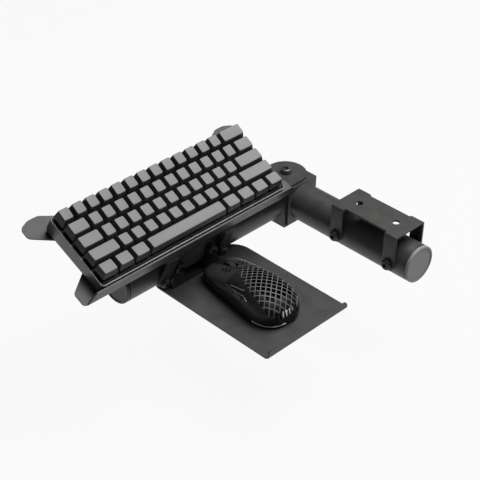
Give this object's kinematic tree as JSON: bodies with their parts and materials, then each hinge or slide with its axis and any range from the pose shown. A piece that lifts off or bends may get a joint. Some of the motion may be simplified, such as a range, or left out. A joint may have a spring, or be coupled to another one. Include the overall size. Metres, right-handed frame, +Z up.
{
  "type": "sim rig keyboard tray",
  "caption": "Swinging tube arm that clamps to a rig and carries a tilting keyboard tray with a keyboard, and a lower mouse tray with a mouse.",
  "frame": {"origin": "midpoint of the rig bracket's two holes, on its top face", "axes": "+X along the main arm from the hinge to its free end, which is towards the user; +Y from the keyboard's left to its right; +Z up"},
  "size_m": [0.2974, 0.3934, 0.1484],
  "materials": {
    "charcoal_coat": "satin powder coat, fine texture",
    "bright_steel": "zinc plated, satin",
    "dark_steel": "black oxide",
    "grey_plastic": "matt moulded",
    "dark_plastic": "matt moulded",
    "nylon": "natural, smooth",
    "keycap_plastic": "fine matt",
    "case_paint": "fine satin",
    "plate_steel": "matt black",
    "board": "solder mask",
    "rubber": "matt",
    "mouse_matt": "soft matt",
    "mouse_gloss": "semi-gloss",
    "slick_pad": "smooth"
  },
  "bodies": {
    "rig_clamp": {"rig_bracket": "charcoal_coat", "rig_bracket_bolts": "dark_steel"},
    "main_arm": {"main_arm_tube": "charcoal_coat", "main_arm_cap": "grey_plastic", "main_arm_weld": "charcoal_coat", "fixed_fork": "charcoal_coat", "pivot_bolt": "bright_steel", "pivot_washers": "bright_steel", "pivot_spacer": "bright_steel", "friction_washers": "nylon", "pivot_nut": "bright_steel"},
    "tray_arm": {"moving_fork": "charcoal_coat", "tray_arm_tube": "charcoal_coat", "tray_arm_cap": "dark_plastic", "tray_arm_weld": "charcoal_coat"},
    "keyboard_tray_unit": {"keyboard_bracket": "charcoal_coat", "keyboard_bracket_bolts": "dark_steel", "keyboard_tray": "charcoal_coat", "keyboard_tray_screws": "dark_steel", "keyboard_tray_nuts": "bright_steel"},
    "mouse_tray_unit": {"mouse_bracket": "charcoal_coat", "mouse_bracket_bolts": "dark_steel", "mouse_tray": "charcoal_coat", "mouse_tray_screws": "dark_steel"},
    "keyboard": {"keyboard_case": "case_paint", "usb_socket": "bright_steel", "keyboard_feet": "rubber", "keyboard_plate": "plate_steel", "keyboard_circuit_board": "board", "keyboard_screws": "dark_steel", "key_switches": "dark_plastic", "stabilisers": "dark_plastic"},
    "mouse": {"mouse_base": "mouse_matt", "mouse_shell": "mouse_matt", "mouse_wheel_axle": "bright_steel", "mouse_circuit_board": "board", "mouse_skates": "slick_pad"},
    "backspace_key": {"backspace_keycap": "keycap_plastic"},
    "tab_key": {"tab_keycap": "keycap_plastic"},
    "backslash_key": {"backslash_keycap": "keycap_plastic"},
    "caps_lock_key": {"caps_lock_keycap": "keycap_plastic"},
    "enter_key": {"enter_keycap": "keycap_plastic"},
    "left_shift_key": {"left_shift_keycap": "keycap_plastic"},
    "right_shift_key": {"right_shift_keycap": "keycap_plastic"},
    "space_key": {"space_bar": "keycap_plastic"},
    "number_row_keys": {"number_row_keycaps": "keycap_plastic"},
    "upper_letter_keys": {"upper_letter_keycaps": "keycap_plastic"},
    "home_letter_keys": {"home_letter_keycaps": "keycap_plastic"},
    "lower_letter_keys": {"lower_letter_keycaps": "keycap_plastic"},
    "modifier_keys": {"modifier_keycaps": "keycap_plastic"},
    "mouse_left_button_body": {"mouse_left_button": "mouse_gloss"},
    "mouse_right_button_body": {"mouse_right_button": "mouse_gloss"},
    "mouse_forward_button_body": {"mouse_forward_button": "mouse_gloss"},
    "mouse_back_button_body": {"mouse_back_button": "mouse_gloss"},
    "mouse_mode_button_body": {"mouse_mode_button": "mouse_gloss"},
    "mouse_wheel_body": {"mouse_wheel": "rubber"}
  },
  "joints": [
    {"name": "arm_slide", "type": "slide", "parent": "rig_clamp", "child": "main_arm", "axis": [1, 0, 0], "range_m": [-0.01, 0.05]},
    {"name": "arm_swing", "type": "hinge", "parent": "main_arm", "child": "tray_arm", "pos_m": [-0.151, 0, -0.0412], "axis": [0, 0, -1], "range_deg": [0, 180]},
    {"name": "keyboard_tray_tilt", "type": "hinge", "parent": "tray_arm", "child": "keyboard_tray_unit", "pos_m": [-0.151, -0.185, -0.0412], "axis": [0, 1, 0], "range_deg": [-24, 8]},
    {"name": "mouse_tray_tilt", "type": "hinge", "parent": "tray_arm", "child": "mouse_tray_unit", "pos_m": [-0.151, -0.185, -0.0412], "axis": [0, 1, 0], "range_deg": [-8, 8]},
    {"name": "keyboard_lift", "type": "slide", "parent": "keyboard_tray_unit", "child": "keyboard", "axis": [0.4067, 0, 0.9135], "range_m": [0, 0.05]},
    {"name": "mouse_lift", "type": "slide", "parent": "mouse_tray_unit", "child": "mouse", "axis": [0, 0, 1], "range_m": [0, 0.025]},
    {"name": "backspace_key_press", "type": "slide", "parent": "keyboard", "child": "backspace_key", "axis": [-0.4679, 0, -0.8838], "range_m": [0, 0.0035], "stiffness_N_per_m": 150, "springref_m": -0.003},
    {"name": "tab_key_press", "type": "slide", "parent": "keyboard", "child": "tab_key", "axis": [-0.4679, 0, -0.8838], "range_m": [0, 0.0035], "stiffness_N_per_m": 150, "springref_m": -0.003},
    {"name": "backslash_key_press", "type": "slide", "parent": "keyboard", "child": "backslash_key", "axis": [-0.4679, 0, -0.8838], "range_m": [0, 0.0035], "stiffness_N_per_m": 150, "springref_m": -0.003},
    {"name": "caps_lock_key_press", "type": "slide", "parent": "keyboard", "child": "caps_lock_key", "axis": [-0.4679, 0, -0.8838], "range_m": [0, 0.0035], "stiffness_N_per_m": 150, "springref_m": -0.003},
    {"name": "enter_key_press", "type": "slide", "parent": "keyboard", "child": "enter_key", "axis": [-0.4679, 0, -0.8838], "range_m": [0, 0.0035], "stiffness_N_per_m": 150, "springref_m": -0.003},
    {"name": "left_shift_key_press", "type": "slide", "parent": "keyboard", "child": "left_shift_key", "axis": [-0.4679, 0, -0.8838], "range_m": [0, 0.0035], "stiffness_N_per_m": 150, "springref_m": -0.003},
    {"name": "right_shift_key_press", "type": "slide", "parent": "keyboard", "child": "right_shift_key", "axis": [-0.4679, 0, -0.8838], "range_m": [0, 0.0035], "stiffness_N_per_m": 150, "springref_m": -0.003},
    {"name": "space_key_press", "type": "slide", "parent": "keyboard", "child": "space_key", "axis": [-0.4679, 0, -0.8838], "range_m": [0, 0.0035], "stiffness_N_per_m": 150, "springref_m": -0.003},
    {"name": "number_row_keys_press", "type": "slide", "parent": "keyboard", "child": "number_row_keys", "axis": [-0.4679, 0, -0.8838], "range_m": [0, 0.0035], "stiffness_N_per_m": 1950, "springref_m": -0.003},
    {"name": "upper_letter_keys_press", "type": "slide", "parent": "keyboard", "child": "upper_letter_keys", "axis": [-0.4679, 0, -0.8838], "range_m": [0, 0.0035], "stiffness_N_per_m": 1800, "springref_m": -0.003},
    {"name": "home_letter_keys_press", "type": "slide", "parent": "keyboard", "child": "home_letter_keys", "axis": [-0.4679, 0, -0.8838], "range_m": [0, 0.0035], "stiffness_N_per_m": 1650, "springref_m": -0.003},
    {"name": "lower_letter_keys_press", "type": "slide", "parent": "keyboard", "child": "lower_letter_keys", "axis": [-0.4679, 0, -0.8838], "range_m": [0, 0.0035], "stiffness_N_per_m": 1500, "springref_m": -0.003},
    {"name": "modifier_keys_press", "type": "slide", "parent": "keyboard", "child": "modifier_keys", "axis": [-0.4679, 0, -0.8838], "range_m": [0, 0.0035], "stiffness_N_per_m": 1050, "springref_m": -0.003},
    {"name": "mouse_left_button_click", "type": "hinge", "parent": "mouse", "child": "mouse_left_button_body", "pos_m": [-0.06403, -0.16362, -0.0348], "axis": [-0.0958, -0.9954, 0], "range_deg": [0, 0.9], "stiffness_Nm_per_rad": 1.2, "springref_deg": -1.15},
    {"name": "mouse_right_button_click", "type": "hinge", "parent": "mouse", "child": "mouse_right_button_body", "pos_m": [-0.06403, -0.16362, -0.0348], "axis": [-0.0958, -0.9954, 0], "range_deg": [0, 0.9], "stiffness_Nm_per_rad": 1.2, "springref_deg": -1.15},
    {"name": "mouse_forward_button_press", "type": "slide", "parent": "mouse", "child": "mouse_forward_button_body", "axis": [0.0958, 0.9954, 0], "range_m": [0, 0.0006], "stiffness_N_per_m": 600, "springref_m": -0.001},
    {"name": "mouse_back_button_press", "type": "slide", "parent": "mouse", "child": "mouse_back_button_body", "axis": [0.0958, 0.9954, 0], "range_m": [0, 0.0006], "stiffness_N_per_m": 600, "springref_m": -0.001},
    {"name": "mouse_mode_button_press", "type": "slide", "parent": "mouse", "child": "mouse_mode_button_body", "axis": [0, 0, -1], "range_m": [0, 0.0005], "stiffness_N_per_m": 600, "springref_m": -0.001},
    {"name": "mouse_wheel_spin", "type": "hinge", "parent": "mouse", "child": "mouse_wheel_body", "pos_m": [-0.08753, -0.16136, -0.0506], "axis": [-0.0958, -0.9954, 0], "continuous": true}
  ]
}
